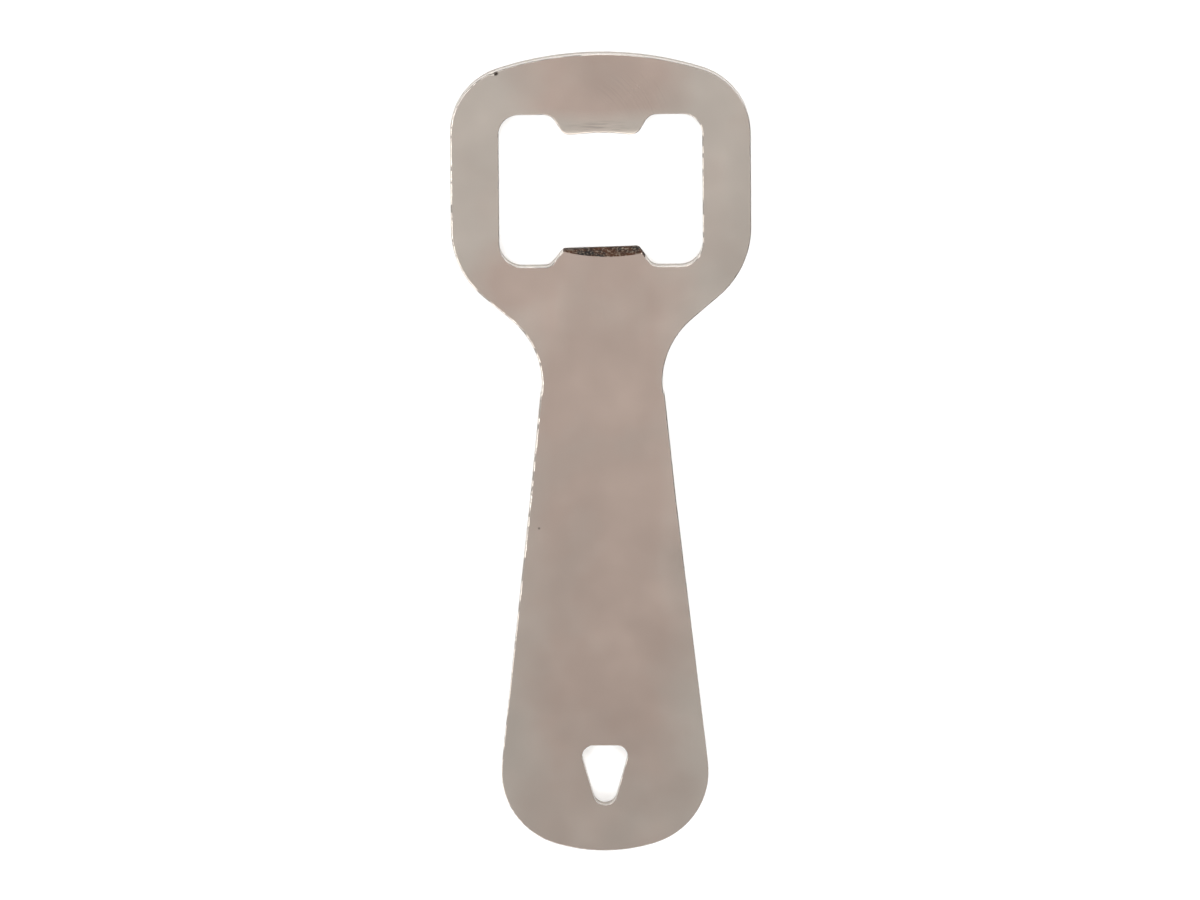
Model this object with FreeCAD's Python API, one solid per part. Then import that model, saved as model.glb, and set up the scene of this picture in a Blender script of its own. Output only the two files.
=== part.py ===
import FreeCAD, Part
import math
import os

from FreeCAD import Vector

# Flat bottle opener, blanked and pierced from one plate. All sizes are in millimetres.
# The plate lies on its back face at z = 0 with its front face up. The head points to +Y
# and the handle to -Y, and the outline is the same on both sides of the YZ plane.

# Whole plate
LENGTH = 122.0
HEAD_WIDTH = 45.0
THICKNESS = 2.5

# Outline, from the head down to the tail
CROWN_RADIUS = 50.0
HEAD_CORNER_RADIUS = 10.3
SHOULDER_RADIUS = 13.8
SHOULDER_Y = 34.6
SHOULDER_TURN = math.radians(49.4)
NECK_RADIUS = 12.8
NECK_WIDTH = 18.1
FLANK_LEAN = math.radians(6.4)
TAIL_CORNER_RADIUS = 11.5
TAIL_RADIUS = 25.1

# Cap mouth
MOUTH_WIDTH = 30.5
MOUTH_TOP = 51.85
MOUTH_BOTTOM = 28.62
MOUTH_UPPER_CORNER_RADIUS = 3.0
MOUTH_LOWER_CORNER_RADIUS = 3.5

# Upper tooth, which rests on the cap: a hollow tip with a bevelled nose
UPPER_TOOTH_HEIGHT = 3.05
UPPER_TIP_WIDTH = 11.1
UPPER_ROOT_WIDTH = 14.7
UPPER_TIP_RADIUS = 1.5
UPPER_ROOT_RADIUS = 2.0
UPPER_HOLLOW_RADIUS = 34.0
UPPER_HOLLOW_DEPTH = 0.27
NOSE_LENGTH = 0.68
NOSE_DROP = 0.09

# Lower tooth, which lifts the cap's skirt: a scooped bevel above a narrow straight land
LOWER_TOOTH_HEIGHT = 2.68
LOWER_TIP_WIDTH = 11.3
LOWER_TIP_RISE = 0.30
LOWER_ROOT_WIDTH = 15.4
LOWER_TIP_RADIUS = 0.6
LOWER_ROOT_RADIUS = 1.7
SCOOP_RADIUS = 27.0
SCOOP_DEPTH = 1.0
SCOOP_OFFSET = 1.0
LAND_HEIGHT = 0.5

# Hang hole: a wedge with its wide side towards the head and a full round at its foot
HOLE_TOP = -44.78
HOLE_BOTTOM = -54.02
HOLE_SIDE_LEAN = math.radians(16.0)
HOLE_CORNER_RADIUS = 1.7
HOLE_FOOT_RADIUS = 1.8

# Rolled front edges left by the press
OUTER_ROLL = 0.15
INNER_ROLL = 0.1

# Cutting solids run past the faces that they cut by this much
CLEAR = 1.0


def on_circle(centre, radius, angle):
    """The point at an angle on a circle in the XY plane."""
    return centre + Vector(radius * math.cos(angle), radius * math.sin(angle), 0)


def arc(centre, radius, start, end):
    """The arc from one angle to another, whichever way round that is."""
    angles = (start, (start + end) / 2, end)
    return Part.Arc(*[on_circle(centre, radius, a) for a in angles]).toShape()


def line(start, end):
    return Part.LineSegment(start, end).toShape()


def mirrored(shape):
    """The same shape on the other side of the YZ plane."""
    return shape.mirror(Vector(0, 0, 0), Vector(1, 0, 0))


def prism(edges, bottom, top):
    """A closed loop of edges, raised into a solid between two heights."""
    face = Part.Face(Part.Wire(Part.__sortEdges__(edges)))
    face.translate(Vector(0, 0, bottom))
    return face.extrude(Vector(0, 0, top - bottom))


def rounded_loop(corners):
    """Edges of a polygon whose corners, given as (x, y, radius), are rounded."""
    ends = []
    edges = []
    for i, (x, y, radius) in enumerate(corners):
        corner = Vector(x, y, 0)
        before = Vector(*corners[i - 1][:2], 0) - corner
        after = Vector(*corners[(i + 1) % len(corners)][:2], 0) - corner
        before.normalize()
        after.normalize()
        half_angle = before.getAngle(after) / 2
        reach = radius / math.tan(half_angle)
        bisector = before + after
        bisector.normalize()
        middle = corner + bisector * (radius / math.sin(half_angle) - radius)
        first = corner + before * reach
        last = corner + after * reach
        edges.append(Part.Arc(first, middle, last).toShape())
        ends.append((first, last))
    for i, (first, _) in enumerate(ends):
        edges.append(line(ends[i - 1][1], first))
    return edges


def direction(vector):
    return math.atan2(vector.y, vector.x)


def crown_centre():
    return Vector(0, LENGTH / 2 - CROWN_RADIUS, 0)


def foot_centre():
    return Vector(0, TAIL_RADIUS - LENGTH / 2, 0)


def head_corner_centre():
    """The head's corner touches the crown from inside and ends on the straight side."""
    x = HEAD_WIDTH / 2 - HEAD_CORNER_RADIUS
    rise = math.sqrt((CROWN_RADIUS - HEAD_CORNER_RADIUS) ** 2 - x**2)
    return crown_centre() + Vector(x, rise, 0)


def neck_centre(shoulder):
    """The neck's hollow meets the sloping line that leaves the shoulder."""
    x = NECK_WIDTH / 2 + NECK_RADIUS
    along = (x - shoulder.x) * math.cos(SHOULDER_TURN)
    drop = (SHOULDER_RADIUS + NECK_RADIUS - along) / math.sin(SHOULDER_TURN)
    return Vector(x, shoulder.y - drop, 0)


def tail_corner_centre(neck):
    """The tail's corner touches the flank and, from inside, the foot's arc."""
    outward = Vector(math.cos(FLANK_LEAN), math.sin(FLANK_LEAN), 0)
    down = Vector(math.sin(FLANK_LEAN), -math.cos(FLANK_LEAN), 0)
    start = neck - outward * (NECK_RADIUS + TAIL_CORNER_RADIUS)
    offset = start - foot_centre()
    ahead = offset.dot(down)
    spare = ahead**2 - offset.dot(offset) + (TAIL_RADIUS - TAIL_CORNER_RADIUS) ** 2
    return start + down * (math.sqrt(spare) - ahead)


def outline():
    """The closed outline: the right side, its mirror image, the crown and the foot."""
    head_corner = head_corner_centre()
    shoulder = Vector(HEAD_WIDTH / 2 - SHOULDER_RADIUS, SHOULDER_Y, 0)
    neck = neck_centre(shoulder)
    tail_corner = tail_corner_centre(neck)
    crown_end = direction(head_corner - crown_centre())
    foot_end = direction(tail_corner - foot_centre())
    arcs = [
        arc(head_corner, HEAD_CORNER_RADIUS, crown_end, 0),
        arc(shoulder, SHOULDER_RADIUS, 0, -SHOULDER_TURN),
        arc(neck, NECK_RADIUS, math.pi - SHOULDER_TURN, math.pi + FLANK_LEAN),
        arc(tail_corner, TAIL_CORNER_RADIUS, FLANK_LEAN, foot_end),
    ]
    links = [
        line(upper.lastVertex().Point, lower.firstVertex().Point)
        for upper, lower in zip(arcs, arcs[1:])
    ]
    right = arcs + links
    left = [mirrored(edge) for edge in right]
    crown = arc(crown_centre(), CROWN_RADIUS, math.pi - crown_end, crown_end)
    foot = arc(foot_centre(), TAIL_RADIUS, foot_end, -math.pi - foot_end)
    return right + left + [crown, foot]


def front_edges(shape):
    """The edges that lie in the front face."""
    return [
        edge
        for edge in shape.Edges
        if all(abs(v.Z - THICKNESS) < 1e-6 for v in edge.Vertexes)
    ]


def blank():
    """The plate with its outer front edge rolled."""
    solid = prism(outline(), 0, THICKNESS)
    return solid.makeFillet(OUTER_ROLL, front_edges(solid))


def mouth_corners(side):
    """Half of the mouth and its teeth, from the upper tooth to the lower one; side is 1 or -1."""
    upper_tip = MOUTH_TOP - UPPER_TOOTH_HEIGHT
    lower_tip = MOUTH_BOTTOM + LOWER_TOOTH_HEIGHT + side * LOWER_TIP_RISE / 2
    return [
        (side * UPPER_TIP_WIDTH / 2, upper_tip, UPPER_TIP_RADIUS),
        (side * UPPER_ROOT_WIDTH / 2, MOUTH_TOP, UPPER_ROOT_RADIUS),
        (side * MOUTH_WIDTH / 2, MOUTH_TOP, MOUTH_UPPER_CORNER_RADIUS),
        (side * MOUTH_WIDTH / 2, MOUTH_BOTTOM, MOUTH_LOWER_CORNER_RADIUS),
        (side * LOWER_ROOT_WIDTH / 2, MOUTH_BOTTOM, LOWER_ROOT_RADIUS),
        (side * LOWER_TIP_WIDTH / 2, lower_tip, LOWER_TIP_RADIUS),
    ]


def mouth_cutter():
    corners = mouth_corners(1) + mouth_corners(-1)[::-1]
    return prism(rounded_loop(corners), -CLEAR, THICKNESS + CLEAR)


def hollow_cutter():
    """The shallow arc across the upper tooth's tip."""
    tip = MOUTH_TOP - UPPER_TOOTH_HEIGHT
    centre = Vector(0, tip + UPPER_HOLLOW_DEPTH - UPPER_HOLLOW_RADIUS, 0)
    half_chord = math.sqrt(
        UPPER_HOLLOW_RADIUS**2 - (UPPER_HOLLOW_RADIUS - UPPER_HOLLOW_DEPTH) ** 2
    )
    half_turn = math.asin(half_chord / UPPER_HOLLOW_RADIUS)
    top = arc(
        centre,
        UPPER_HOLLOW_RADIUS,
        math.pi / 2 - half_turn,
        math.pi / 2 + half_turn,
    )
    right = Vector(half_chord, tip, 0)
    left = Vector(-half_chord, tip, 0)
    below = Vector(0, -CLEAR, 0)
    sides = [line(right, right + below), line(left, left + below)]
    foot = line(right + below, left + below)
    return prism([top, foot] + sides, -CLEAR, THICKNESS + CLEAR)


def hole_cutter():
    """The hang hole: its sides lean in until they touch the round foot."""
    foot_y = HOLE_BOTTOM + HOLE_FOOT_RADIUS
    foot_half = HOLE_FOOT_RADIUS / math.cos(HOLE_SIDE_LEAN)
    top_half = foot_half + (HOLE_TOP - foot_y) * math.tan(HOLE_SIDE_LEAN)
    apex_y = foot_y - HOLE_FOOT_RADIUS / math.sin(HOLE_SIDE_LEAN)
    corners = [
        (-top_half, HOLE_TOP, HOLE_CORNER_RADIUS),
        (top_half, HOLE_TOP, HOLE_CORNER_RADIUS),
        (0, apex_y, HOLE_FOOT_RADIUS),
    ]
    return prism(rounded_loop(corners), -CLEAR, THICKNESS + CLEAR)


def nose_cutter():
    """The wedge above the upper tooth's bevelled nose."""
    tip = MOUTH_TOP - UPPER_TOOTH_HEIGHT
    slope = NOSE_DROP / NOSE_LENGTH
    profile = [
        Vector(0, tip + NOSE_LENGTH + CLEAR, THICKNESS + CLEAR * slope),
        Vector(0, tip - CLEAR, THICKNESS - NOSE_DROP - CLEAR * slope),
        Vector(0, tip - CLEAR, THICKNESS + CLEAR),
        Vector(0, tip + NOSE_LENGTH + CLEAR, THICKNESS + CLEAR),
    ]
    face = Part.Face(Part.makePolygon(profile + profile[:1]))
    face.translate(Vector(-UPPER_ROOT_WIDTH / 2, 0, 0))
    return face.extrude(Vector(UPPER_ROOT_WIDTH, 0, 0))


def scoop_cutter():
    """The cone that hollows the front of the lower tooth's tip."""
    tip = MOUTH_BOTTOM + LOWER_TOOTH_HEIGHT
    slope = SCOOP_DEPTH / (THICKNESS - LAND_HEIGHT)
    centre = Vector(SCOOP_OFFSET, tip - SCOOP_DEPTH + SCOOP_RADIUS, 0)
    cone = Part.makeCone(
        SCOOP_RADIUS - SCOOP_DEPTH - slope * LAND_HEIGHT,
        SCOOP_RADIUS + slope * CLEAR,
        THICKNESS + CLEAR,
        centre,
    )
    window = Part.makeBox(
        LOWER_ROOT_WIDTH,
        LOWER_TOOTH_HEIGHT + CLEAR,
        THICKNESS + CLEAR,
        Vector(-LOWER_ROOT_WIDTH / 2, MOUTH_BOTTOM, 0),
    )
    return cone.common(window)


def opener_plate():
    pierced = blank().cut(mouth_cutter()).cut(hole_cutter())
    inner_edges = [
        edge
        for edge in front_edges(pierced)
        if abs(edge.CenterOfMass.x) < MOUTH_WIDTH / 2 + 1e-6
        and (is_mouth_height(edge) or is_hole_height(edge))
    ]
    rolled = pierced.makeFillet(INNER_ROLL, inner_edges)
    toothed = rolled.cut(hollow_cutter()).cut(nose_cutter()).cut(scoop_cutter())
    return toothed.removeSplitter()


def is_mouth_height(edge):
    return MOUTH_BOTTOM - 1e-6 < edge.CenterOfMass.y < MOUTH_TOP + 1e-6


def is_hole_height(edge):
    return HOLE_BOTTOM - 1e-6 < edge.CenterOfMass.y < HOLE_TOP + 1e-6


os.makedirs("parts", exist_ok=True)
plate = opener_plate()
plate.exportStep("parts/opener_plate.step")
box = plate.optimalBoundingBox(False)
print("valid", plate.isValid(), "solids", len(plate.Solids), "faces", len(plate.Faces))
print("size", round(box.XLength, 3), round(box.YLength, 3), round(box.ZLength, 3))
print("volume", round(plate.Volume, 1))
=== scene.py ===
"""A flat plated-steel bottle opener on a pale floor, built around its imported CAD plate.

Shape sizes are in millimetres in the plate's own frame: +Y to the head, +Z out of the front
face, z = 0 on the back face. Meshes, lights and the camera are in metres.
"""

import math

import bpy
import numpy as np
from mathutils import Matrix, Vector, geometry, noise


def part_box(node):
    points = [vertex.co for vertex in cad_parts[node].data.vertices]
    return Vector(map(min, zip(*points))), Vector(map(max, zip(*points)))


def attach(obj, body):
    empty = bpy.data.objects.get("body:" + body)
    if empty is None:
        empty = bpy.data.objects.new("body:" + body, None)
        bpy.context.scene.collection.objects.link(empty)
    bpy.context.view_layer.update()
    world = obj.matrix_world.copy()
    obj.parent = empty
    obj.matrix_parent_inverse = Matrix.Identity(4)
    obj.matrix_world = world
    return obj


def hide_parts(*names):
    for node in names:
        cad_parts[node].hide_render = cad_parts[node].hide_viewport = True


MM = 0.001
NODE = "opener_plate"

# Outline, from the head down to the tail, as in the CAD plate
CROWN_RADIUS = 50.0
HEAD_CORNER_RADIUS = 10.3
SHOULDER_RADIUS = 13.8
SHOULDER_Y = 34.6
SHOULDER_TURN = math.radians(49.4)
NECK_RADIUS = 12.8
NECK_WIDTH = 18.1
FLANK_LEAN = math.radians(6.4)
TAIL_CORNER_RADIUS = 11.5
TAIL_RADIUS = 25.1

# Cap mouth
MOUTH_WIDTH = 30.5
MOUTH_TOP = 51.85
MOUTH_BOTTOM = 28.62
MOUTH_UPPER_CORNER_RADIUS = 3.0
MOUTH_LOWER_CORNER_RADIUS = 3.5

# Upper tooth
UPPER_TIP = MOUTH_TOP - 3.05
UPPER_TIP_WIDTH = 11.1
UPPER_ROOT_WIDTH = 14.7
UPPER_TIP_RADIUS = 1.5
UPPER_ROOT_RADIUS = 2.0
UPPER_HOLLOW_RADIUS = 34.0
UPPER_HOLLOW_DEPTH = 0.27
NOSE_LENGTH = 0.68
NOSE_DROP = 0.09

# Lower tooth
LOWER_TIP = MOUTH_BOTTOM + 2.68
LOWER_TIP_WIDTH = 11.3
LOWER_TIP_RISE = 0.30
LOWER_ROOT_WIDTH = 15.4
LOWER_TIP_RADIUS = 0.6
LOWER_ROOT_RADIUS = 1.7
SCOOP_RADIUS = 27.0
SCOOP_DEPTH = 1.0
SCOOP_OFFSET = 1.0
LAND_HEIGHT = 0.5

# Hang hole
HOLE_TOP = -44.78
HOLE_BOTTOM = -54.02
HOLE_SIDE_LEAN = math.radians(16.0)
HOLE_CORNER_RADIUS = 1.7
HOLE_FOOT_RADIUS = 1.8

# Rolled front edge: wider towards -X, narrower where it faces the head or nears the tail
OUTER_ROLL = 0.15
INNER_ROLL = 0.1
BACK_ROLL = 0.06
LEFT_ROLL_EXTRA = 0.8
HEADWARD_ROLL_LOSS = 0.5
TAIL_ROLL_SHARE = 0.4
TAIL_WEAR_START = -12.0
TAIL_WEAR_END = -38.0
MOST_ROLL_SHARE = 0.35

# Nicks in the rolled edge, as (width of a nick, how much of the noise is cut off)
NICKS = ((1.5, 0.1), (0.5, 0.15))
NICK_DEPTH = 0.13
DENT_PLACE = (-16.2, 58.4)
DENT_SIZE = 0.35

# Sheared wall: burnished above, torn below
BURNISHED_SHARE = 0.45
TEAR_ONSET = 0.1
TEAR_DEPTH = 0.04
TEAR_WIDTH = 0.3
FINE_TEAR_WIDTH = 0.14
DRAG_DEPTH = 0.004
DRAG_WIDTH = 0.25

# Step in the handle's flanks where the two blanking dies met
DIE_STEP = 0.2
DIE_STEP_Y = 9.2
DIE_STEP_ONSET = 0.5
DIE_STEP_FADE = 16.0
DIE_STEP_LEFT_SHARE = 0.6

# Creases and torn metal at the teeth
SCOOP_ROUNDING = 0.06
NOSE_ROUNDING = 0.3
LOWEST_BEVEL = 0.2
TORN_FLANK = 0.9

# Mesh spacing
COLUMN_STEP = 0.2
FACE_STEP = 1.4
FACE_GAP = 0.84
TOOTH_STEP = 0.12
TOOTH_GAP = 0.06
SUPPORT_INSET = 0.1
ROLL_ROWS = 5
WALL_ROWS = 10
BACK_ROWS = 3

# Points closer than this are one point
SAME_POINT = 1e-6

# Material regions of the plate
FACE, EDGE, TORN = range(3)


# ---------------------------------------------------------------- outlines


class Arc:
    """A circular stretch of an outline. Metal lies to the left of its direction of travel."""

    def __init__(self, centre, radius, start, end):
        self.centre = np.array(centre, float)
        self.radius = radius
        self.start = start
        self.end = end

    def at(self, angles):
        directions = np.stack([np.cos(angles), np.sin(angles)], axis=-1)
        return self.centre + self.radius * directions

    def sampled(self):
        """Points along the arc without its last one, and the unit vectors into the metal."""
        turn = self.end - self.start
        count = max(2, math.ceil(abs(turn) * self.radius / COLUMN_STEP))
        angles = self.start + turn * np.arange(count) / count
        outward = np.stack([np.cos(angles), np.sin(angles)], axis=-1)
        return self.at(angles), -math.copysign(1, turn) * outward

    def mirrored(self):
        """The same stretch on the other side of the centre line, travelled the other way."""
        centre = self.centre * (-1, 1)
        return Arc(centre, self.radius, math.pi - self.end, math.pi - self.start)


def sampled_line(start, end):
    """Points from start to end without the last one, and the unit vectors into the metal."""
    run = end - start
    length = math.hypot(*run)
    count = math.ceil(length / COLUMN_STEP)
    points = start + run * (np.arange(count) / count)[:, None]
    inward = np.array([-run[1], run[0]]) / length
    return points, np.tile(inward, (count, 1))


def closed_loop(arcs):
    """Columns of a closed outline: the arcs in turn, with straight lines between them."""
    stretches = []
    for this, following in zip(arcs, arcs[1:] + arcs[:1]):
        stretches.append(this.sampled())
        end = this.at(this.end)
        start = following.at(following.start)
        if math.hypot(*(start - end)) > SAME_POINT:
            stretches.append(sampled_line(end, start))
    return [np.concatenate(parts) for parts in zip(*stretches)]


def rounded_corners(corners):
    """One arc for each corner of a polygon, given in order as (x, y, radius)."""
    arcs = []
    for i, (x, y, radius) in enumerate(corners):
        corner = np.array([x, y])
        arriving = corner - np.array(corners[i - 1][:2])
        leaving = np.array(corners[(i + 1) % len(corners)][:2]) - corner
        heading = math.atan2(arriving[1], arriving[0])
        turn = math.atan2(leaving[1], leaving[0]) - heading
        turn = (turn + math.pi) % (2 * math.pi) - math.pi
        side = math.copysign(math.pi / 2, turn)
        bisector = heading + turn / 2 + side
        reach = radius / math.cos(turn / 2)
        centre = corner + reach * np.array([math.cos(bisector), math.sin(bisector)])
        arcs.append(Arc(centre, radius, heading - side, heading - side + turn))
    return arcs


def angle_of(vector):
    return math.atan2(vector[1], vector[0])


def outline_arcs(length, width):
    """The plate's outline, anticlockwise from the crown."""
    crown_centre = np.array([0, length / 2 - CROWN_RADIUS])
    foot_centre = np.array([0, TAIL_RADIUS - length / 2])
    corner_x = width / 2 - HEAD_CORNER_RADIUS
    corner_rise = math.sqrt((CROWN_RADIUS - HEAD_CORNER_RADIUS) ** 2 - corner_x**2)
    corner = crown_centre + (corner_x, corner_rise)
    shoulder = np.array([width / 2 - SHOULDER_RADIUS, SHOULDER_Y])
    neck_x = NECK_WIDTH / 2 + NECK_RADIUS
    along = (neck_x - shoulder[0]) * math.cos(SHOULDER_TURN)
    drop = (SHOULDER_RADIUS + NECK_RADIUS - along) / math.sin(SHOULDER_TURN)
    neck = np.array([neck_x, SHOULDER_Y - drop])
    outward = np.array([math.cos(FLANK_LEAN), math.sin(FLANK_LEAN)])
    down = np.array([math.sin(FLANK_LEAN), -math.cos(FLANK_LEAN)])
    start = neck - outward * (NECK_RADIUS + TAIL_CORNER_RADIUS)
    offset = start - foot_centre
    spare = (offset @ down) ** 2 - offset @ offset
    spare += (TAIL_RADIUS - TAIL_CORNER_RADIUS) ** 2
    tail = start + down * (math.sqrt(spare) - offset @ down)
    crown_end = angle_of(corner - crown_centre)
    foot_end = angle_of(tail - foot_centre)
    right = [
        Arc(tail, TAIL_CORNER_RADIUS, foot_end, FLANK_LEAN),
        Arc(neck, NECK_RADIUS, math.pi + FLANK_LEAN, math.pi - SHOULDER_TURN),
        Arc(shoulder, SHOULDER_RADIUS, -SHOULDER_TURN, 0),
        Arc(corner, HEAD_CORNER_RADIUS, 0, crown_end),
    ]
    left = [arc.mirrored() for arc in reversed(right)]
    crown = Arc(crown_centre, CROWN_RADIUS, crown_end, math.pi - crown_end)
    foot = Arc(foot_centre, TAIL_RADIUS, -math.pi - foot_end, foot_end)
    return [crown] + left + [foot] + right


def mouth_arcs():
    """The cap mouth, clockwise from the hollow in the upper tooth's tip."""
    right = [
        (UPPER_TIP_WIDTH / 2, UPPER_TIP, UPPER_TIP_RADIUS),
        (UPPER_ROOT_WIDTH / 2, MOUTH_TOP, UPPER_ROOT_RADIUS),
        (MOUTH_WIDTH / 2, MOUTH_TOP, MOUTH_UPPER_CORNER_RADIUS),
        (MOUTH_WIDTH / 2, MOUTH_BOTTOM, MOUTH_LOWER_CORNER_RADIUS),
        (LOWER_ROOT_WIDTH / 2, MOUTH_BOTTOM, LOWER_ROOT_RADIUS),
    ]
    left = [(-x, y, radius) for x, y, radius in reversed(right)]
    half, rise = LOWER_TIP_WIDTH / 2, LOWER_TIP_RISE / 2
    lower_tip = [
        (half, LOWER_TIP + rise, LOWER_TIP_RADIUS),
        (-half, LOWER_TIP - rise, LOWER_TIP_RADIUS),
    ]
    centre = (0, UPPER_TIP + UPPER_HOLLOW_DEPTH - UPPER_HOLLOW_RADIUS)
    half_turn = math.acos(1 - UPPER_HOLLOW_DEPTH / UPPER_HOLLOW_RADIUS)
    upright = math.pi / 2
    hollow = Arc(centre, UPPER_HOLLOW_RADIUS, upright + half_turn, upright - half_turn)
    return [hollow] + rounded_corners(right + lower_tip + left)


def hole_arcs():
    """The hang hole, clockwise: its sides lean in until they touch the round foot."""
    foot_y = HOLE_BOTTOM + HOLE_FOOT_RADIUS
    foot_half = HOLE_FOOT_RADIUS / math.cos(HOLE_SIDE_LEAN)
    top_half = foot_half + (HOLE_TOP - foot_y) * math.tan(HOLE_SIDE_LEAN)
    apex_y = foot_y - HOLE_FOOT_RADIUS / math.sin(HOLE_SIDE_LEAN)
    corners = [
        (-top_half, HOLE_TOP, HOLE_CORNER_RADIUS),
        (top_half, HOLE_TOP, HOLE_CORNER_RADIUS),
        (0, apex_y, HOLE_FOOT_RADIUS),
    ]
    return rounded_corners(corners)


# ---------------------------------------------------------------- relief


def soft_ramp(distance, rounding):
    """Zero before a crease and the distance past it after, rounded across the crease."""
    rounded = (distance + rounding) ** 2 / (4 * rounding)
    ramp = np.where(distance > rounding, distance, rounded)
    return np.where(distance < -rounding, 0, ramp)


def scoop_distance(x, y):
    """How far a point lies inside the rim of the lower tooth's scoop."""
    centre_y = LOWER_TIP - SCOOP_DEPTH + SCOOP_RADIUS
    from_axis = np.hypot(x - SCOOP_OFFSET, y - centre_y)
    inside = (y < LOWER_TIP + 1) & (np.abs(x) < LOWER_ROOT_WIDTH / 2)
    return np.where(inside, SCOOP_RADIUS - from_axis, -SCOOP_RADIUS)


def nose_distance(x, y):
    """How far a point lies past the top of the upper tooth's bevelled nose."""
    beside = (y > (UPPER_TIP + LOWER_TIP) / 2) & (np.abs(x) < UPPER_ROOT_WIDTH / 2)
    return np.where(beside, UPPER_TIP + NOSE_LENGTH - y, -SCOOP_RADIUS)


def front_height(x, y, thickness):
    """Height of the front surface, with both teeth's bevels."""
    scoop_slope = (thickness - LAND_HEIGHT) / SCOOP_DEPTH
    nose_slope = NOSE_DROP / NOSE_LENGTH
    drop = scoop_slope * soft_ramp(scoop_distance(x, y), SCOOP_ROUNDING)
    drop += nose_slope * soft_ramp(nose_distance(x, y), NOSE_ROUNDING)
    return np.maximum(thickness - drop, LOWEST_BEVEL)


def field(points, scale, seed):
    """Smooth noise from -1 to 1 at each point, with features about scale millimetres wide."""
    shift = Vector((seed * 17.3, seed * 5.1, seed * 9.7))
    return np.array([noise.noise(Vector(p) / scale + shift) for p in points])


def die_step(points):
    """Outward shift of the handle's flanks where the two blanking dies met."""
    y = points[:, 1]
    fade = np.clip(1 - (DIE_STEP_Y - y) / DIE_STEP_FADE, 0, 1)
    onset = np.clip((DIE_STEP_Y - y) / DIE_STEP_ONSET + 0.5, 0, 1)
    side = np.where(points[:, 0] > 0, 1, DIE_STEP_LEFT_SHARE)
    return DIE_STEP * side * onset * fade


def quarter_turn(steps):
    """Angles from 0 to a quarter turn, both included."""
    return [math.pi / 2 * step / (steps - 1) for step in range(steps)]


# ---------------------------------------------------------------- plate mesh


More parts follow.
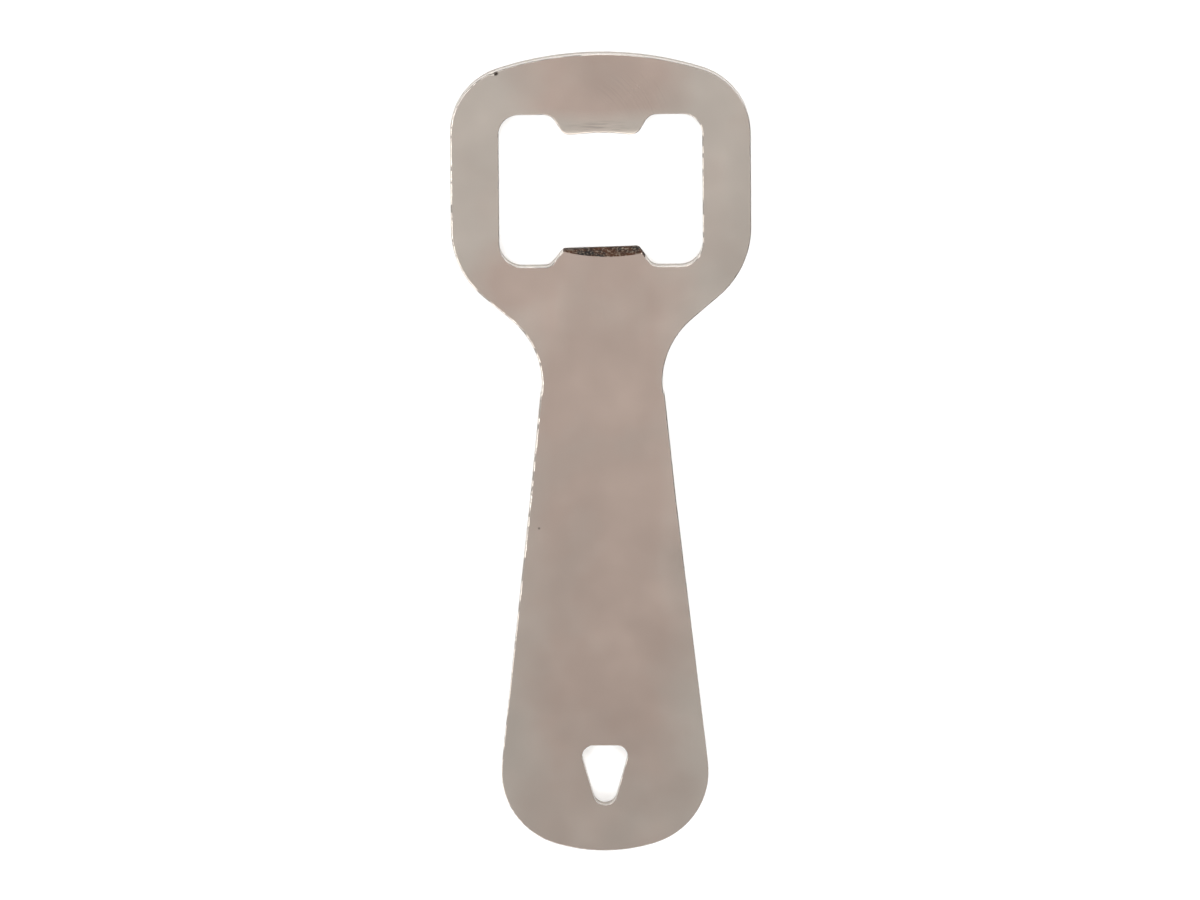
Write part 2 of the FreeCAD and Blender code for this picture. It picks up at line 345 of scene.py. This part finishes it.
class Plate:
    """Collects the plate's vertices and faces."""

    def __init__(self, thickness):
        self.thickness = thickness
        self.vertices = []
        self.faces = []
        self.regions = []
        self.count = 0

    def add_points(self, points):
        start = self.count
        self.vertices.append(points)
        self.count += len(points)
        return np.arange(start, self.count)

    def add_wall(self, points, inward, roll, seed):
        """The sheared wall of one loop. Returns its front ring and its back ring."""
        rolls = self.roll_sizes(points, inward, roll, seed)
        rows = [self.front_row(points, inward, rolls + SUPPORT_INSET, 0)]
        for angle in quarter_turn(ROLL_ROWS):
            inset = rolls * (1 - math.sin(angle))
            rows.append(self.front_row(points, inward, inset, rolls * (1 - math.cos(angle))))
        rows += self.sheared_rows(points, inward, rows[-1][:, 2], seed)
        for angle in quarter_turn(BACK_ROWS):
            xy = points + inward * BACK_ROLL * (1 - math.cos(angle))
            z = np.full(len(points), BACK_ROLL * (1 - math.sin(angle)))
            rows.append(np.column_stack([xy, z]))
        back_ring = points + inward * (BACK_ROLL + SUPPORT_INSET)
        rows.append(np.column_stack([back_ring, np.zeros(len(points))]))
        indices = [self.add_points(row) for row in rows]
        for upper, lower in zip(indices, indices[1:]):
            following = np.roll(upper, -1), np.roll(lower, -1)
            quads = np.column_stack([upper, lower, following[1], following[0]])
            self.faces += quads.tolist()
        self.regions += wall_regions(points, len(rows) - 1)
        return indices[0], indices[-1]

    def roll_sizes(self, points, inward, roll, seed):
        """Radius of the rolled front edge at each column, with its wear, nicks and dent."""
        flat = np.column_stack([points, np.zeros(len(points))])
        nicks = 0
        for number, (width, cut) in enumerate(NICKS):
            nicks = nicks + np.clip(field(flat, width, seed + number) - cut, 0, 1) * NICK_DEPTH
        from_dent = np.hypot(*(points - DENT_PLACE).T)
        nicks = nicks + DENT_SIZE * np.exp(-((from_dent / DENT_SIZE) ** 2))
        leftward = np.clip(inward[:, 0], 0, 1)
        headward = np.clip(-inward[:, 1], 0, 1)
        roll = roll * (1 + LEFT_ROLL_EXTRA * leftward - HEADWARD_ROLL_LOSS * headward)
        wear_limits = (TAIL_WEAR_END, TAIL_WEAR_START)
        wear = np.interp(points[:, 1], wear_limits, (TAIL_ROLL_SHARE, 1))
        return np.minimum((roll + nicks) * wear, MOST_ROLL_SHARE * self.edge_height(points))

    def sheared_rows(self, points, inward, top, seed):
        """Rows of the wall between its rolled edges, with drag marks and a torn lower part."""
        flat = np.column_stack([points, np.zeros(len(points))])
        drag = DRAG_DEPTH * (1 + field(flat, DRAG_WIDTH, seed + 3))
        rows = []
        for row in range(1, WALL_ROWS):
            share = row / WALL_ROWS
            z = top + (BACK_ROLL - top) * share
            torn = np.clip((share - BURNISHED_SHARE) / TEAR_ONSET, 0, 1)
            place = np.column_stack([points, z])
            tear = 0.5 + 0.5 * field(place, TEAR_WIDTH, seed + 2)
            inset = tear * TEAR_DEPTH * torn + drag
            rows.append(np.column_stack([points + inward * inset[:, None], z]))
        return rows

    def edge_height(self, points):
        return front_height(points[:, 0], points[:, 1], self.thickness)

    def front_row(self, points, inward, inset, drop):
        """A row of vertices near the front edge, inset from the outline and lowered."""
        xy = points + inward * np.reshape(inset, (-1, 1))
        return np.column_stack([xy, self.edge_height(xy) - drop])

    def all_points(self):
        return np.concatenate(self.vertices)

    def add_face(self, rings, inner, facing_up):
        """Fills the face between the rings, through the inner points."""
        place = self.all_points()
        ring_points = [place[ring][:, :2] for ring in rings]
        indices = np.concatenate(rings + [self.add_points(inner)])
        flat = self.all_points()[indices][:, :2]
        borders = []
        start = 0
        for ring in rings:
            count = len(ring)
            borders += [(start + i, start + (i + 1) % count) for i in range(count)]
            start += count
        result = geometry.delaunay_2d_cdt(
            [Vector(p) for p in flat], borders, [], 0, 1e-7, True
        )
        corners, triangles, origins = result[0], result[2], result[3]
        corners = np.array([tuple(c) for c in corners])
        triangles = np.array(triangles)
        middles = corners[triangles].mean(axis=1)
        inside = inside_metal(middles, ring_points)
        lookup = np.array([indices[origin[0]] for origin in origins])
        kept = lookup[triangles[inside]]
        if facing_up:
            self.regions += torn_region(middles[inside]).tolist()
        else:
            kept = kept[:, ::-1]
            self.regions += [FACE] * len(kept)
        self.faces += kept.tolist()

    def finished(self, name, materials):
        mesh = bpy.data.meshes.new(name)
        mesh.from_pydata((self.all_points() * MM).tolist(), [], self.faces)
        mesh.polygons.foreach_set("material_index", np.array(self.regions, np.int32))
        mesh.polygons.foreach_set("use_smooth", np.ones(len(self.faces), bool))
        for material in materials:
            mesh.materials.append(material)
        mesh.validate()
        mesh.update()
        piece = bpy.data.objects.new(name, mesh)
        bpy.context.scene.collection.objects.link(piece)
        return piece


def wall_regions(points, bands):
    """Material of each wall face: plated edge between two bands of face, torn at the tooth."""
    scooped = scoop_distance(*points.T)
    reach = np.where(points[:, 0] > 0, TORN_FLANK, 0)
    first = np.where(scooped > 0, TORN, FACE).tolist()
    edge = np.where(scooped > -reach, TORN, EDGE).tolist()
    return first + edge * (bands - 2) + [FACE] * len(points)


def crossings(points, ring):
    """Whether each point is enclosed by the ring, by counting edge crossings."""
    following = np.roll(ring, -1, axis=0)
    x, y = points[:, :1], points[:, 1:]
    spans = (ring[:, 1] > y) != (following[:, 1] > y)
    rise = following[:, 1] - ring[:, 1]
    rise = np.where(np.abs(rise) < 1e-12, 1e-12, rise)
    at = ring[:, 0] + (y - ring[:, 1]) / rise * (following[:, 0] - ring[:, 0])
    return (spans & (x < at)).sum(axis=1) % 2 == 1


def inside_metal(points, rings):
    """Whether each point is inside the first ring and outside the others."""
    inside = crossings(points, rings[0])
    for ring in rings[1:]:
        inside &= ~crossings(points, ring)
    return inside


def clear_of(points, rings, gap):
    """Whether each point keeps the gap from every ring."""
    ring_points = np.concatenate(rings)
    nearest = np.full(len(points), np.inf)
    for some in np.array_split(ring_points, len(ring_points) // 256 + 1):
        distance = np.hypot(points[:, :1] - some[:, 0], points[:, 1:] - some[:, 1])
        nearest = np.minimum(nearest, distance.min(axis=1))
    return nearest > gap


def grid(low, high, step):
    """Points of a staggered grid over a rectangle."""
    rows = np.arange(low[1], high[1], step * math.sqrt(3) / 2)
    columns = np.arange(low[0], high[0], step)
    x, y = np.meshgrid(columns, rows)
    x = x + (np.arange(len(rows)) % 2)[:, None] * step / 2
    return np.column_stack([x.ravel(), y.ravel()])


def scoop_grid():
    """Points on arcs that follow the rim of the lower tooth's scoop."""
    centre = np.array([SCOOP_OFFSET, LOWER_TIP - SCOOP_DEPTH + SCOOP_RADIUS])
    half_turn = math.asin(LOWER_ROOT_WIDTH / 2 / SCOOP_RADIUS)
    turns = np.arange(-half_turn, half_turn, TOOTH_STEP / SCOOP_RADIUS)
    depths = np.arange(-3 * SCOOP_ROUNDING, SCOOP_DEPTH, TOOTH_STEP * 0.75)
    turn, depth = np.meshgrid(turns, depths)
    radius = SCOOP_RADIUS - depth
    x = centre[0] + radius * np.sin(turn)
    y = centre[1] - radius * np.cos(turn)
    return np.column_stack([x.ravel(), y.ravel()])


def nose_grid():
    """Points on lines that follow the top of the upper tooth's nose."""
    half = UPPER_ROOT_WIDTH / 2
    low = (-half, UPPER_TIP)
    high = (half, UPPER_TIP + NOSE_LENGTH + 2 * NOSE_ROUNDING)
    return grid(low, high, TOOTH_STEP * 1.5)


def near_tooth_detail(points):
    """Whether each point lies where a finer grid covers the surface."""
    x, y = points.T
    by_scoop = scoop_distance(x, y) > -4 * SCOOP_ROUNDING
    by_nose = nose_distance(x, y) > -3 * NOSE_ROUNDING
    return by_scoop | by_nose


def torn_region(middles):
    """The torn face of the lower tooth, and plated face everywhere else."""
    torn = scoop_distance(*middles.T) > -SCOOP_ROUNDING * 1.5
    return np.where(torn, TORN, FACE)


def face_points(rings, low, high, thickness):
    """The front face's inner points, with the relief of its teeth."""
    coarse = grid(low, high, FACE_STEP)
    coarse = coarse[~near_tooth_detail(coarse)]
    coarse = coarse[clear_of(coarse, rings, FACE_GAP)]
    fine = np.concatenate([scoop_grid(), nose_grid()])
    fine = fine[clear_of(fine, rings, TOOTH_GAP)]
    points = np.concatenate([coarse, fine])
    points = points[inside_metal(points, rings)]
    x, y = points.T
    z = front_height(x, y, thickness)
    torn = np.clip(scoop_distance(x, y) / SCOOP_ROUNDING, 0, 1)
    place = np.column_stack([points, z])
    tear = field(place, TEAR_WIDTH, 21) + 0.5 * field(place, FINE_TEAR_WIDTH, 22)
    return np.column_stack([points, z + torn * TEAR_DEPTH * tear])


def build_plate(low, high, materials):
    """The finished plate: three walls, one for each loop, between the front and back faces."""
    width, length, thickness = high - low
    loops = [
        closed_loop(outline_arcs(length, width)),
        closed_loop(mouth_arcs()),
        closed_loop(hole_arcs()),
    ]
    outline, inward = loops[0]
    loops[0] = (outline - inward * die_step(outline)[:, None], inward)
    plate = Plate(thickness)
    fronts, backs = [], []
    for number, (points, into_metal) in enumerate(loops):
        roll = INNER_ROLL if number else OUTER_ROLL
        front, back = plate.add_wall(points, into_metal, roll, 30 + 10 * number)
        fronts.append(front)
        backs.append(back)
    place = plate.all_points()
    front_rings = [place[ring][:, :2] for ring in fronts]
    back_rings = [place[ring][:, :2] for ring in backs]
    front_inner = face_points(front_rings, low, high, thickness)
    back_inner = grid(low, high, FACE_STEP)
    back_inner = back_inner[clear_of(back_inner, back_rings, FACE_GAP)]
    back_inner = back_inner[inside_metal(back_inner, back_rings)]
    back_inner = np.column_stack([back_inner, np.zeros(len(back_inner))])
    plate.add_face(fronts, front_inner, True)
    plate.add_face(backs, back_inner, False)
    return plate.finished("opener_plate_finished", materials)


# ---------------------------------------------------------------- materials


class Graph:
    """A material's node tree around one Principled shader."""

    def __init__(self, name):
        self.material = bpy.data.materials.new(name)
        self.material.use_nodes = True
        self.tree = self.material.node_tree
        self.shader = self.tree.nodes["Principled BSDF"]
        coordinates = self.tree.nodes.new("ShaderNodeTexCoord")
        self.place = coordinates.outputs["Object"]
        self.x, self.y, self.z = self.split(self.place)
        self.facing = self.split(coordinates.outputs["Normal"])

    def node(self, kind, settings=None, inputs=None):
        made = self.tree.nodes.new(kind)
        for name, value in (settings or {}).items():
            setattr(made, name, value)
        for name, value in (inputs or {}).items():
            self.feed(made.inputs[name], value)
        return made

    def feed(self, socket, value):
        if isinstance(value, bpy.types.NodeSocket):
            self.tree.links.new(value, socket)
        else:
            socket.default_value = value

    def split(self, vector):
        return self.node("ShaderNodeSeparateXYZ", {}, {"Vector": vector}).outputs[:]

    def stretched(self, scale, turn=(0, 0, 0)):
        """The place on the object, turned and then scaled along each axis."""
        settings = {"vector_type": "TEXTURE"}
        inputs = {"Vector": self.place, "Rotation": turn}
        turned = self.node("ShaderNodeMapping", settings, inputs).outputs[0]
        inputs = {"Vector": turned, "Scale": scale}
        return self.node("ShaderNodeMapping", {}, inputs).outputs[0]

    def noise(self, scale, detail=2.0, vector=None):
        inputs = {"Vector": vector or self.place, "Scale": scale, "Detail": detail}
        return self.node("ShaderNodeTexNoise", {}, inputs).outputs["Fac"]

    def ramp(self, value, from_low, from_high, to_low=0.0, to_high=1.0):
        inputs = {
            "Value": value,
            "From Min": from_low,
            "From Max": from_high,
            "To Min": to_low,
            "To Max": to_high,
        }
        return self.node("ShaderNodeMapRange", {}, inputs).outputs["Result"]

    def math(self, operation, first, second=0.0):
        made = self.node("ShaderNodeMath", {"operation": operation})
        self.feed(made.inputs[0], first)
        self.feed(made.inputs[1], second)
        return made.outputs[0]

    def times(self, first, *others):
        for other in others:
            first = self.math("MULTIPLY", first, other)
        return first

    def patch(self, x, y, half_width, half_height, softness=0.5):
        """One at a spot on the plate, fading to nothing across an ellipse; in millimetres."""
        across = self.ramp(self.x, x * MM, (x + half_width) * MM)
        along = self.ramp(self.y, y * MM, (y + half_height) * MM)
        for node in (across.node, along.node):
            node.clamp = False
        squares = self.math("ADD", self.times(across, across), self.times(along, along))
        return self.ramp(self.math("SQRT", squares), 1.0, 1.0 - softness)

    def blend(self, share, first, second):
        made = self.node("ShaderNodeMix", {"data_type": "RGBA"})
        self.feed(made.inputs["Factor"], share)
        self.feed(made.inputs["A"], first)
        self.feed(made.inputs["B"], second)
        return made.outputs["Result"]

    def bump(self, height, strength, distance, normal=None):
        inputs = {"Height": height, "Strength": strength, "Distance": distance}
        if normal is not None:
            inputs["Normal"] = normal
        return self.node("ShaderNodeBump", {}, inputs).outputs["Normal"]

    def set(self, **values):
        for name, value in values.items():
            self.feed(self.shader.inputs[name.replace("_", " ")], value)


NICKEL_GREY = (0.665, 0.59, 0.52, 1)
NICKEL_PINK = (0.625, 0.495, 0.425, 1)
# Dark mix colour: grime, stains and darker patches, and also the painted shade on the rolled
# edges and the dent's painted shadow.
GRIME_AND_SHADE = (0.06, 0.045, 0.035, 1)
BURNISHED_WALL = (0.64, 0.585, 0.53, 1)
TORN_WALL = (0.46, 0.415, 0.37, 1)
RUST_BROWN = (0.050, 0.018, 0.007, 1)
SCORCHED_BLACK = (0.012, 0.010, 0.009, 1)
BARE_FLECK = (0.185, 0.145, 0.11, 1)
PAPER_SHADE = (0.91, 0.91, 0.91, 1)
PAPER_LIGHT = (0.93, 0.93, 0.93, 1)

# Darker patches of the face, in millimetres: x, y, half width, half height, and how much darker
DARKER_PATCHES = (
    (12.0, -17.0, 3.2, 9.0, 0.10),
    (1.5, 56.0, 13.0, 7.0, 0.06),
    (22.0, 34.0, 9.0, 18.0, 0.07),
    (15.0, 26.0, 9.0, 8.0, 0.09),
)

# The dark hollow of the dent lies a little in from the edge: x, y, half width, half height
DENT_SHADOW = (DENT_PLACE[0] + 0.6, DENT_PLACE[1] - 0.15, 0.5, 0.45)


def nickel_tint(g):
    """The plating's tint: pinker along the middle, greyer at the rims and darker towards the
    tail.
    """
    middle = g.ramp(g.math("ABSOLUTE", g.x), 0.0155, 0.0075)
    above_tail = g.ramp(g.y, -0.058, -0.035, 0.45, 1.0)
    from_mouth = g.math("ABSOLUTE", g.math("SUBTRACT", g.y, 0.0445))
    off_tooth = g.ramp(from_mouth, 0.0060, 0.0085)
    left_shoulder = g.patch(-13, 26, 9, 8, 0.7)
    middle = g.math("MAXIMUM", g.times(middle, above_tail, off_tooth), left_shoulder)
    clouds = g.ramp(g.noise(95, 3), 0.35, 0.65, -0.22, 0.18)
    pink = g.math("ADD", middle, clouds)
    pink.node.use_clamp = True
    tint = g.blend(pink, NICKEL_GREY, NICKEL_PINK)
    darkening = g.ramp(g.y, 0.022, -0.055, 0.0, 0.21)
    for x, y, half_width, half_height, depth in DARKER_PATCHES:
        darker_patch = g.times(g.patch(x, y, half_width, half_height, 0.9), depth)
        darkening = g.math("ADD", darkening, darker_patch)
    return g.blend(darkening, tint, GRIME_AND_SHADE)


def polishing_marks(g):
    """Fine scratches: straight ones everywhere and a fan of curved ones on the crown."""
    marks = []
    for degrees in (12, 78, -40):
        lines = g.stretched((2600, 60, 60), (0, 0, math.radians(degrees)))
        marks.append(g.times(g.ramp(g.noise(1.0, 2, lines), 0.66, 0.8), 0.35))
    from_pivot = g.node(
        "ShaderNodeVectorMath",
        {"operation": "DISTANCE"},
        {0: g.place, 1: (-0.006, 0.047, 0.0025)},
    ).outputs["Value"]
    arcs = g.node(
        "ShaderNodeTexNoise",
        {"noise_dimensions": "1D"},
        {"W": from_pivot, "Scale": 2600.0, "Detail": 2.0},
    ).outputs["Fac"]
    fan = g.times(g.ramp(arcs, 0.5, 0.7), g.patch(5.5, 55.0, 7.5, 4.0, 0.7))
    marks.append(fan)
    deepest = marks[0]
    for mark in marks[1:]:
        deepest = g.math("MAXIMUM", deepest, mark)
    return deepest


def nickel_face():
    """Bright nickel on the flat faces: faint clouds, fine polishing scratches and pits."""
    g = Graph("nickel_face")
    marks = polishing_marks(g)
    rubbed = g.ramp(g.noise(1.0, 3, g.stretched((330, 3600, 330))), 0.46, 0.62)
    rubbed = g.times(rubbed, g.patch(0.0, 50.1, 5.6, 1.0, 0.8), 0.22)
    pits = g.node("ShaderNodeTexVoronoi", {}, {"Vector": g.place, "Scale": 210.0})
    pit = g.ramp(pits.outputs["Distance"], 0.05, 0.025)
    rare = g.ramp(g.split(pits.outputs["Color"])[0], 0.80, 0.82, 0.0, 0.55)
    stain_and_dent_shade = g.math("MAXIMUM", rubbed, g.times(pit, rare))
    stain_and_dent_shade = g.math("MAXIMUM", stain_and_dent_shade, g.times(marks, 0.12))
    # Painted shadow: the dent's dark hollow is painted onto the face, on top of the real stains.
    stain_and_dent_shade = g.math("MAXIMUM", stain_and_dent_shade, g.patch(*DENT_SHADOW))
    haze = g.ramp(g.noise(120, 4), 0.3, 0.7, 0.17, 0.25)
    roughness = g.math("ADD", haze, g.times(marks, 0.06))
    peel = g.bump(g.noise(240, 2), 0.08, 0.00002)
    relief = g.bump(g.times(marks, -1.0), 0.15, 0.000003, peel)
    g.set(Base_Color=g.blend(stain_and_dent_shade, nickel_tint(g), GRIME_AND_SHADE), Metallic=1.0)
    g.set(Roughness=roughness, Normal=relief)
    return g.material


def edge_shade_and_flecks(g):
    """Where the rolled front edge is painted dark: painted shade to the right and the tail and
    on the crown's shoulders in place of a dark reflection, scattered dark flecks, and the dent's
    painted shadow."""
    towards = g.math("ADD", g.times(g.facing[0], 0.8), g.times(g.facing[1], -0.6))
    # Painted shade: edges facing right and towards the tail are darkened in place of the darker
    # surroundings they would reflect.
    side = g.ramp(towards, 0.05, 0.3)
    flecks = g.ramp(g.noise(620, 3), 0.50, 0.58, 0.0, 0.75)
    # Painted shade: the crown's shoulder edges are darkened like a dark reflection.
    shoulders = g.ramp(g.math("ABSOLUTE", g.x), 0.003, 0.008, 0.0, 0.85)
    shoulders = g.times(shoulders, g.ramp(g.facing[1], 0.2, 0.5), g.ramp(g.y, 0.050, 0.054))
    shade_and_flecks = g.math("MAXIMUM", g.math("MAXIMUM", side, shoulders), flecks)
    # Painted shadow: the dent's dark hollow is painted onto the rolled edge.
    shade_and_flecks = g.math("MAXIMUM", shade_and_flecks, g.patch(*DENT_SHADOW))
    return g.times(shade_and_flecks, g.ramp(g.z, 0.0022, 0.0024))


def nickel_edge():
    """The same plating over the sheared walls, with drag marks and a torn lower half."""
    g = Graph("nickel_edge")
    ragged = g.math("ADD", g.z, g.times(g.noise(900, 2), 0.0006))
    torn = g.ramp(ragged, 0.0019, 0.0013)
    drag = g.noise(1.0, 3, g.stretched((5200, 5200, 260)))
    spots = g.ramp(g.noise(3400, 3), 0.54, 0.68)
    spots = g.times(spots, g.ramp(torn, 0, 1, 0.15, 0.5))
    # The rolled edge's painted shade and its dark flecks.
    shade_and_flecks = edge_shade_and_flecks(g)
    foot = g.times(g.ramp(g.z, 0.0005, 0.0002), 0.2)
    dark_spots_and_shade = g.math("MAXIMUM", g.math("MAXIMUM", spots, shade_and_flecks), foot)
    streaks = g.times(g.ramp(drag, 0.4, 0.7, 0.0, 0.3), g.ramp(torn, 0, 1, 1, 0))
    plating = g.blend(torn, BURNISHED_WALL, TORN_WALL)
    colour = g.blend(g.math("MAXIMUM", dark_spots_and_shade, streaks), plating, GRIME_AND_SHADE)
    # Where the painted edge shade lies, the metal is also made less metallic and rougher, so it
    # stays dark.
    metallic = g.ramp(shade_and_flecks, 0.0, 1.0, 1.0, 0.2)
    roughness = g.math("MAXIMUM", g.ramp(torn, 0, 1, 0.24, 0.42), g.times(shade_and_flecks, 0.6))
    grain = g.times(g.noise(3600, 4), torn)
    relief = g.math("ADD", g.times(drag, g.ramp(torn, 0, 1, 1, 0.2)), grain)
    bump = g.bump(relief, 0.5, 0.00003)
    g.set(Base_Color=colour, Metallic=metallic, Roughness=roughness, Normal=bump)
    return g.material


def torn_steel():
    """The lower tooth's torn face: dark, scorched and barely plated."""
    g = Graph("torn_steel")
    mottle = g.ramp(g.noise(3000, 3), 0.51, 0.68)
    scorched = g.ramp(g.noise(700, 2), 0.4, 0.6)
    scorch = g.blend(scorched, RUST_BROWN, SCORCHED_BLACK)
    colour = g.blend(mottle, scorch, BARE_FLECK)
    bump = g.bump(mottle, 0.6, 0.00005)
    g.set(Base_Color=colour, Metallic=0.0, Roughness=0.75)
    g.set(Specular_IOR_Level=0.15, Normal=bump)
    return g.material


def floor_material():
    """Matt white paper with the faintest tooth."""
    g = Graph("white_paper")
    tooth = g.bump(g.noise(1800, 3), 0.1, 0.00005)
    shade = g.ramp(g.noise(9, 2), 0.3, 0.7)
    colour = g.blend(shade, PAPER_SHADE, PAPER_LIGHT)
    g.set(Base_Color=colour, Roughness=0.9, Specular_IOR_Level=0.0, Normal=tooth)
    return g.material


# ---------------------------------------------------------------- stage

# Floor, in metres
FLOOR_RADIUS = 12.0
FLOOR_GAP = 0.00002
FLOOR_CORNERS = 96

# Camera: the width of its view and the point it is aimed at are in millimetres
LENS = 500.0
SENSOR = 36.0
VIEW_WIDTH = 180.2
CAMERA_TILT = math.radians(11.5)
CAMERA_ROLL = math.radians(-0.43)
AIM = (-0.39, 0.68)
CLIP_START = 0.1
CLIP_END = 50

# World's brightness from straight down, 0, to straight up, 1: floor, walls, bright band, roof
WORLD_BANDS = (
    (0.495, 1.0),
    (0.505, 0.45),
    (0.78, 0.50),
    (0.83, 4.0),
    (0.90, 4.0),
    (0.945, 0.62),
)

# Softbox above the head's left, in metres and watts
KEY_PLACE = (-0.5, 0.7, 1.3)
KEY_SIZE = 0.8
KEY_POWER = 3


def add_floor():
    """A wide round sheet of paper just below the plate."""
    mesh = bpy.data.meshes.new("floor")
    turns = [2 * math.pi * i / FLOOR_CORNERS for i in range(FLOOR_CORNERS)]
    rim = [
        (FLOOR_RADIUS * math.cos(turn), FLOOR_RADIUS * math.sin(turn), -FLOOR_GAP)
        for turn in turns
    ]
    mesh.from_pydata(rim, [], [range(FLOOR_CORNERS)])
    mesh.materials.append(floor_material())
    floor = bpy.data.objects.new("floor", mesh)
    bpy.context.scene.collection.objects.link(floor)


def add_camera(high):
    """Nearly straight down on the plate, from a little towards its head."""
    towards = Vector((0, math.tan(CAMERA_TILT), 1)).normalized()
    aim = Vector((*AIM, high[2])) * MM
    distance = VIEW_WIDTH * MM * LENS / SENSOR
    right = Vector((0, 1, 0)).cross(towards).normalized()
    up = towards.cross(right)
    turn = Matrix((right, up, towards)).transposed().to_4x4()
    data = bpy.data.cameras.new("camera")
    data.lens = LENS
    data.sensor_width = SENSOR
    data.clip_start = CLIP_START
    data.clip_end = CLIP_END
    camera = bpy.data.objects.new("camera", data)
    bpy.context.scene.collection.objects.link(camera)
    place = Matrix.Translation(aim + towards * distance)
    camera.matrix_world = place @ turn @ Matrix.Rotation(CAMERA_ROLL, 4, "Z")
    bpy.context.scene.camera = camera


def add_world():
    """A studio tent: grey overhead, a bright band at mid height and greyer walls."""
    world = bpy.data.worlds.new("studio")
    world.use_nodes = True
    tree = world.node_tree
    background = tree.nodes["Background"]
    place = tree.nodes.new("ShaderNodeTexCoord")
    split = tree.nodes.new("ShaderNodeSeparateXYZ")
    tree.links.new(place.outputs["Generated"], split.inputs[0])
    ramp = tree.nodes.new("ShaderNodeValToRGB")
    ramp.color_ramp.interpolation = "EASE"
    elements = ramp.color_ramp.elements
    while len(elements) < len(WORLD_BANDS):
        elements.new(1.0)
    for element, (position, level) in zip(elements, WORLD_BANDS):
        element.position = position
        element.color = (level, level, level, 1)
    half = tree.nodes.new("ShaderNodeMapRange")
    half.inputs["From Min"].default_value = -1
    tree.links.new(split.outputs["Z"], half.inputs["Value"])
    tree.links.new(half.outputs["Result"], ramp.inputs["Fac"])
    tree.links.new(ramp.outputs["Color"], background.inputs["Color"])
    bpy.context.scene.world = world


def add_softbox(name, place, size, power):
    """A square area light aimed at the plate."""
    data = bpy.data.lights.new(name, "AREA")
    data.shape = "SQUARE"
    data.size = size
    data.energy = power
    light = bpy.data.objects.new(name, data)
    light.location = place
    light.rotation_euler = (-Vector(place)).to_track_quat("-Z", "Y").to_euler()
    light.visible_camera = False
    bpy.context.scene.collection.objects.link(light)


# ---------------------------------------------------------------- scene

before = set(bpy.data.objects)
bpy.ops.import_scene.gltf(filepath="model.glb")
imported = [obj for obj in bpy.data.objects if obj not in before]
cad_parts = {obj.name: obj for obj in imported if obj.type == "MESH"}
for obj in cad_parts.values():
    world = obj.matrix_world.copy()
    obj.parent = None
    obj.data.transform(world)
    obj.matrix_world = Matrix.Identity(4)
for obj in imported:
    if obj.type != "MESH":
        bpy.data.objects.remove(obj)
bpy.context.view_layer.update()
plate_low, plate_high = (np.array(corner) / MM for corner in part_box(NODE))

add_camera(plate_high)
add_world()
add_softbox("key", KEY_PLACE, KEY_SIZE, KEY_POWER)
add_floor()
opener = build_plate(plate_low, plate_high, [nickel_face(), nickel_edge(), torn_steel()])
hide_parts(NODE)
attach(opener, "root")

scene = bpy.context.scene
scene.view_settings.view_transform = "Standard"
